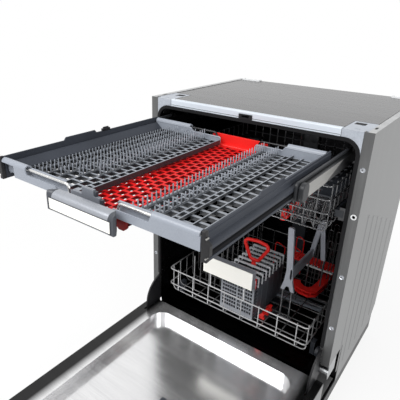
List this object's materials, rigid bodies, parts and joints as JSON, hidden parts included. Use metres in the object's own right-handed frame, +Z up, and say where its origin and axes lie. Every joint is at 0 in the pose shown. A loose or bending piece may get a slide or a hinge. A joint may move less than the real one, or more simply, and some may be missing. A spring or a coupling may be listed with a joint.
{
  "type": "dishwasher",
  "caption": "Built-in dishwasher with a drop-down door, a pull-out cutlery drawer with sliding trays, wire racks, spray arms and a bare steel cabinet.",
  "frame": {"origin": "on the floor under the middle of the whole object, open door included", "axes": "+X to the right seen from the front, +Y to the back, +Z up"},
  "size_m": [0.598, 1.117, 0.821],
  "materials": {
    "cabinet_steel": "satin grey coated sheet",
    "trim_plastic": "light blue-grey plastic",
    "white_plastic": "white plastic",
    "stainless": "brushed stainless sheet",
    "rail_steel": "bright rolled steel",
    "seal_rubber": "black rubber",
    "black_plastic": "black plastic",
    "slate_plastic": "dark slate plastic",
    "grey_plastic": "blue-grey plastic",
    "red_plastic": "red plastic",
    "cream_plate": "cream insert plate",
    "wire_coat": "plastic-coated wire",
    "screw_steel": "bright zinc",
    "spring_steel": "spring steel"
  },
  "bodies": {
    "cabinet": {"side_panels": "cabinet_steel", "flange_screws": "screw_steel", "top_sheet": "cabinet_steel", "front_trim": "trim_plastic", "corner_brackets": "trim_plastic", "rear_brackets": "white_plastic", "back_panel": "cabinet_steel", "tub": "stainless", "door_seal": "seal_rubber", "latch_striker": "black_plastic", "base_pan": "black_plastic", "feet": "black_plastic", "hinge_brackets": "rail_steel", "balance_springs": "spring_steel", "sump": "slate_plastic", "pumps": "slate_plastic", "inlet_valve": "white_plastic", "water_softener": "white_plastic", "feed_pipe": "slate_plastic", "drawer_rails_outer": "rail_steel", "upper_rack_rails": "rail_steel"},
    "door": {"door_outer_panel": "cabinet_steel", "door_liner": "stainless", "control_strip": "black_plastic", "door_latch": "rail_steel", "hinge_ears": "black_plastic", "dispenser_body": "slate_plastic"},
    "drawer": {"drawer_sides": "slate_plastic", "drawer_wires": "stainless", "drawer_handle": "slate_plastic", "drawer_handle_plate": "cream_plate", "red_tray": "red_plastic"},
    "upper_rack": {"upper_rack_frame": "wire_coat", "upper_rack_sliders": "slate_plastic", "upper_rack_clips": "red_plastic", "upper_rack_duct": "slate_plastic"},
    "lower_rack": {"lower_rack_frame": "wire_coat", "wheel_carriers": "slate_plastic", "lower_handle_grip": "slate_plastic", "lower_handle_plate": "cream_plate", "cutlery_basket": "grey_plastic", "basket_handle": "red_plastic", "tall_holder": "slate_plastic"},
    "filter": {"filter": "grey_plastic"},
    "salt_cap": {"salt_cap": "grey_plastic"},
    "lower_spray_arm": {"lower_spray_arm": "grey_plastic"},
    "ceiling_spray_arm": {"ceiling_spray_arm": "grey_plastic"},
    "drawer_rails_middle": {"drawer_rails_middle": "rail_steel"},
    "button_left": {"button_left": "grey_plastic"},
    "button_middle": {"button_middle": "grey_plastic"},
    "button_right": {"button_right": "grey_plastic"},
    "dispenser_lid": {"dispenser_lid": "grey_plastic"},
    "rinse_cap": {"rinse_cap": "grey_plastic"},
    "tray_left": {"tray_left": "grey_plastic"},
    "tray_right": {"tray_right": "grey_plastic"},
    "upper_spray_arm": {"upper_spray_arm": "grey_plastic"},
    "cup_shelf_left": {"cup_shelf_left": "slate_plastic"},
    "cup_shelf_right": {"cup_shelf_right": "slate_plastic"},
    "wheels_front": {"wheels_front": "slate_plastic"},
    "wheels_rear": {"wheels_rear": "slate_plastic"}
  },
  "joints": [
    {"name": "door_hinge", "type": "hinge", "parent": "cabinet", "child": "door", "pos_m": [0, 0.0855, 0.168], "axis": [1, 0, 0], "range_deg": [-90, 0]},
    {"name": "drawer_slide", "type": "slide", "parent": "cabinet", "child": "drawer", "axis": [0, -1, 0], "range_m": [-0.503, 0]},
    {"name": "drawer_rail_slide", "type": "slide", "parent": "cabinet", "child": "drawer_rails_middle", "axis": [0, -1, 0], "range_m": [-0.2515, 0]},
    {"name": "tray_left_shift", "type": "slide", "parent": "drawer", "child": "tray_left", "axis": [1, 0, 0], "range_m": [0, 0.08]},
    {"name": "tray_right_shift", "type": "slide", "parent": "drawer", "child": "tray_right", "axis": [1, 0, 0], "range_m": [-0.07, 0]},
    {"name": "upper_rack_slide", "type": "slide", "parent": "cabinet", "child": "upper_rack", "axis": [0, -1, 0], "range_m": [0, 0.44]},
    {"name": "upper_arm_spin", "type": "hinge", "parent": "upper_rack", "child": "upper_spray_arm", "pos_m": [0, 0.3105, 0.54], "axis": [0, 0, 1], "continuous": true},
    {"name": "cup_shelf_left_fold", "type": "hinge", "parent": "upper_rack", "child": "cup_shelf_left", "pos_m": [-0.22057, 0.3005, 0.64], "axis": [0, -1, 0], "range_deg": [0, 85]},
    {"name": "cup_shelf_right_fold", "type": "hinge", "parent": "upper_rack", "child": "cup_shelf_right", "pos_m": [0.22057, 0.3005, 0.64], "axis": [0, 1, 0], "range_deg": [0, 85]},
    {"name": "lower_rack_slide", "type": "slide", "parent": "cabinet", "child": "lower_rack", "axis": [0, -1, 0], "range_m": [0, 0.48]},
    {"name": "wheels_front_roll", "type": "hinge", "parent": "lower_rack", "child": "wheels_front", "pos_m": [0, 0.1455, 0.1663], "axis": [1, 0, 0], "continuous": true},
    {"name": "wheels_rear_roll", "type": "hinge", "parent": "lower_rack", "child": "wheels_rear", "pos_m": [0, 0.4655, 0.1663], "axis": [1, 0, 0], "continuous": true},
    {"name": "lower_arm_spin", "type": "hinge", "parent": "cabinet", "child": "lower_spray_arm", "pos_m": [0, 0.3355, 0.165], "axis": [0, 0, 1], "continuous": true},
    {"name": "ceiling_arm_spin", "type": "hinge", "parent": "cabinet", "child": "ceiling_spray_arm", "pos_m": [0, 0.3205, 0.782], "axis": [0, 0, 1], "continuous": true},
    {"name": "filter_turn", "type": "hinge", "parent": "cabinet", "child": "filter", "pos_m": [0, 0.2555, 0.1], "axis": [0, 0, 1], "range_deg": [0, 90]},
    {"name": "salt_cap_turn", "type": "hinge", "parent": "cabinet", "child": "salt_cap", "pos_m": [-0.17, 0.4405, 0.13], "axis": [0, 0, 1], "range_deg": [0, 90]},
    {"name": "dispenser_lid_slide", "type": "slide", "parent": "door", "child": "dispenser_lid", "axis": [0, -1, 0], "range_m": [0, 0.08]},
    {"name": "rinse_cap_turn", "type": "hinge", "parent": "door", "child": "rinse_cap", "pos_m": [0.02, -0.2695, 0.126], "axis": [0, 0, 1], "range_deg": [0, 90]},
    {"name": "button_left_press", "type": "slide", "parent": "door", "child": "button_left", "axis": [0, 1, 0], "range_m": [0, 0.0015], "stiffness_N_per_m": 400},
    {"name": "button_middle_press", "type": "slide", "parent": "door", "child": "button_middle", "axis": [0, 1, 0], "range_m": [0, 0.0015], "stiffness_N_per_m": 400},
    {"name": "button_right_press", "type": "slide", "parent": "door", "child": "button_right", "axis": [0, 1, 0], "range_m": [0, 0.0015], "stiffness_N_per_m": 400}
  ],
  "couplings": [
    {"joint": "drawer_slide", "follows": "door_hinge", "m_per_rad": 0.3202},
    {"joint": "drawer_rail_slide", "follows": "door_hinge", "m_per_rad": 0.1601},
    {"joint": "wheels_front_roll", "follows": "lower_rack_slide", "rad_per_m": 62.5},
    {"joint": "wheels_rear_roll", "follows": "lower_rack_slide", "rad_per_m": 62.5}
  ]
}
